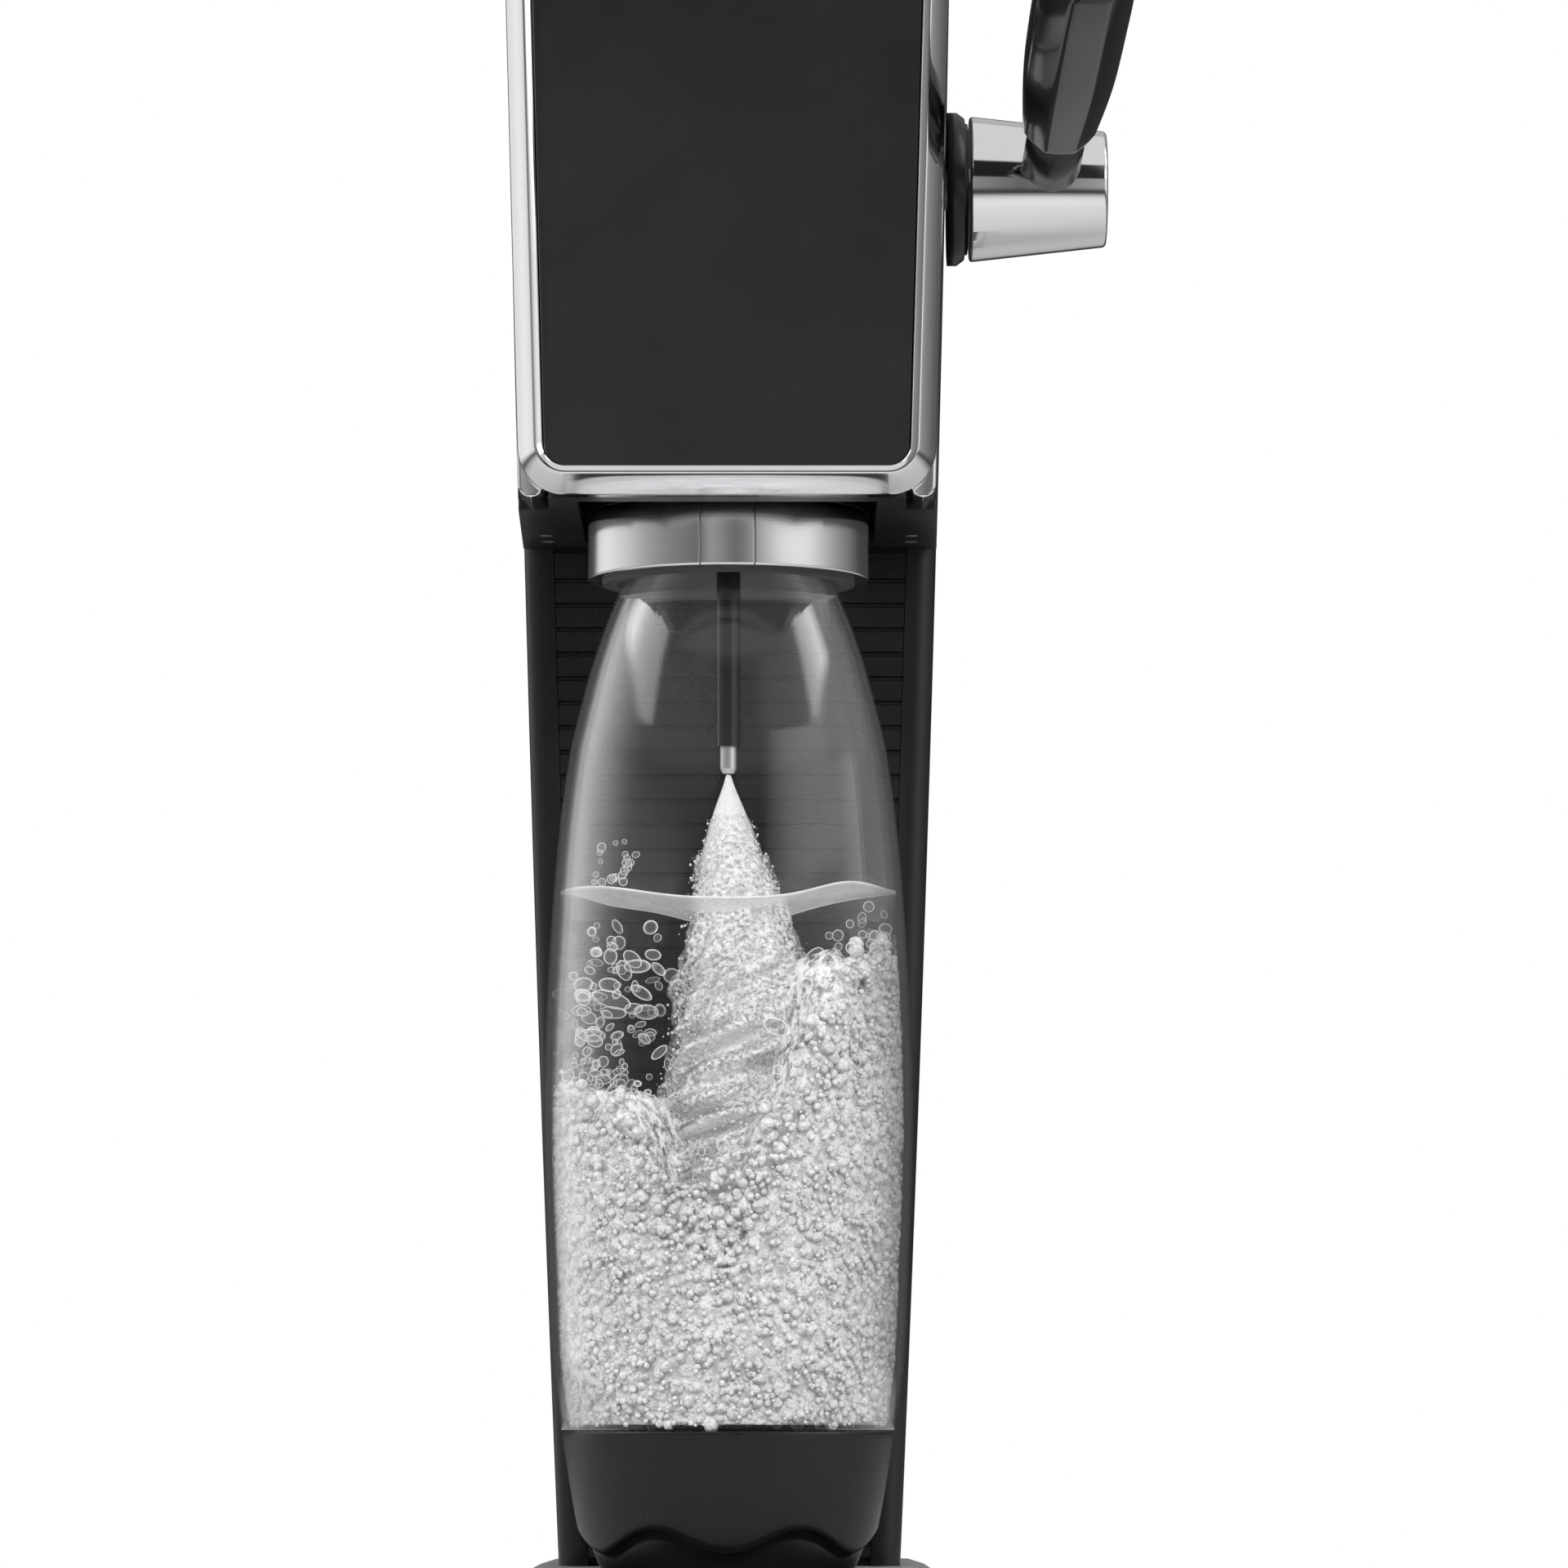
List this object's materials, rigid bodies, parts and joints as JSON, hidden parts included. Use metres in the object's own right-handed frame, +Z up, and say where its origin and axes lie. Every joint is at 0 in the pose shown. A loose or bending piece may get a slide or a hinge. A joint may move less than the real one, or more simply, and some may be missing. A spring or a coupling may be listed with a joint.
{
  "type": "soda carbonator",
  "caption": "Lever-operated drinks carbonator: tapered black column, framed glossy head, hinged holder with a clear bottle, drip tray and a gas cylinder behind a sliding cover.",
  "frame": {"origin": "on the worktop, under the bottle's axis, on the plane of the foot ring", "axes": "+Z up and along the column, -Y towards the user, +X towards the lever"},
  "size_m": [0.1532, 0.2976, 0.428],
  "materials": {
    "base_silver": "satin silver lacquer",
    "inner_plastic": "moulded matt",
    "black_rubber": "matt rubber",
    "screw_steel": "zinc plated",
    "body_black": "satin fine grain",
    "ribbed_black": "satin, grooved",
    "bright_chrome": "polished",
    "gloss_panel": "high gloss",
    "zinc_steel": "pressed, zinc plated",
    "bush_plastic": "self-lubricating",
    "spring_steel": "ground",
    "hose_rubber": "braided look",
    "valve_brass": "turned",
    "neck_grey": "satin",
    "gloss_grip": "gloss",
    "tube_black": "gloss",
    "nozzle_steel": "turned",
    "clear_bottle": "clear",
    "cup_black": "satin",
    "button_black": "satin",
    "handle_pink": "semi-gloss",
    "cylinder_enamel": "lacquered",
    "tray_grey": "satin"
  },
  "bodies": {
    "machine": {"base_shell": "base_silver", "base_plate": "inner_plastic", "foot_ring": "black_rubber", "base_screws": "screw_steel", "column_housing": "body_black", "column_face": "ribbed_black", "head_shell": "body_black", "head_top": "body_black", "head_floor": "body_black", "chrome_frame": "bright_chrome", "front_panel": "gloss_panel", "frame_screws": "screw_steel", "hub_flange": "body_black", "chassis": "zinc_steel", "chassis_screws": "screw_steel", "shaft_bushings": "bush_plastic", "return_spring": "spring_steel", "rocker_pin": "spring_steel", "connector_block": "inner_plastic", "block_screws": "screw_steel", "gas_hose": "hose_rubber", "hose_fitting": "valve_brass", "holder_brackets": "zinc_steel", "bracket_screws": "screw_steel", "cylinder_cradle": "inner_plastic"},
    "lever": {"lever_shaft": "spring_steel", "lever_hub": "bright_chrome", "hub_end_cap": "bright_chrome", "lever_neck": "neck_grey", "lever_grip": "gloss_grip", "crank_arm": "zinc_steel", "crank_screw": "screw_steel"},
    "rocker": {"rocker": "zinc_steel"},
    "valve_pin": {"valve_pin": "valve_brass"},
    "bottle_holder": {"collar_ring": "bright_chrome", "collar_tab": "bright_chrome", "collar_liner": "inner_plastic", "neck_seal": "black_rubber", "carbonation_head": "inner_plastic", "carbonation_tube": "tube_black", "nozzle_tip": "nozzle_steel", "holder_yoke": "zinc_steel", "relief_valve": "valve_brass"},
    "bottle": {"bottle_shell": "clear_bottle", "bottle_cup": "cup_black"},
    "rear_cover": {"rear_cover": "body_black", "cover_hooks": "body_black"},
    "cover_button": {"cover_button": "button_black"},
    "cylinder_handle": {"cylinder_handle": "handle_pink"},
    "gas_cylinder": {"cylinder_body": "cylinder_enamel", "cylinder_valve": "valve_brass"},
    "drip_tray": {"drip_tray": "tray_grey"}
  },
  "joints": [
    {"name": "lever_pull", "type": "hinge", "parent": "machine", "child": "lever", "pos_m": [0, 0, 0.3675], "axis": [1, 0, 0], "range_deg": [-45, 35], "stiffness_Nm_per_rad": 1.3, "springref_deg": -2.86},
    {"name": "rocker_tilt", "type": "hinge", "parent": "machine", "child": "rocker", "pos_m": [0, 0.088, 0.3755], "axis": [1, 0, 0], "range_deg": [-6, 8]},
    {"name": "valve_pin_press", "type": "slide", "parent": "machine", "child": "valve_pin", "axis": [0, 0, -1], "range_m": [-0.0024, 0.0019]},
    {"name": "holder_swing", "type": "hinge", "parent": "machine", "child": "bottle_holder", "pos_m": [0, 0.028, 0.302], "axis": [-1, 0, 0], "range_deg": [0, 14]},
    {"name": "bottle_release", "type": "slide", "parent": "bottle_holder", "child": "bottle", "axis": [0, 0, -1], "range_m": [0, 0.014]},
    {"name": "cover_slide", "type": "slide", "parent": "machine", "child": "rear_cover", "axis": [0, 1, 0], "range_m": [0, 0.07]},
    {"name": "cover_button_press", "type": "slide", "parent": "rear_cover", "child": "cover_button", "axis": [0, -1, 0], "range_m": [0, 0.003], "stiffness_N_per_m": 300},
    {"name": "handle_lift", "type": "hinge", "parent": "machine", "child": "cylinder_handle", "pos_m": [0, 0.106, 0.358], "axis": [1, 0, 0], "range_deg": [0, 60]},
    {"name": "cylinder_drop", "type": "slide", "parent": "machine", "child": "gas_cylinder", "axis": [0, 0, -1], "range_m": [0, 0.00398]},
    {"name": "tray_slide", "type": "slide", "parent": "machine", "child": "drip_tray", "axis": [0, -1, 0], "range_m": [0, 0.112]}
  ],
  "couplings": [
    {"joint": "rocker_tilt", "follows": "lever_pull", "ratio": -0.15789},
    {"joint": "valve_pin_press", "follows": "lever_pull", "m_per_rad": 0.002842},
    {"joint": "handle_lift", "follows": "cylinder_drop", "rad_per_m": 263}
  ]
}
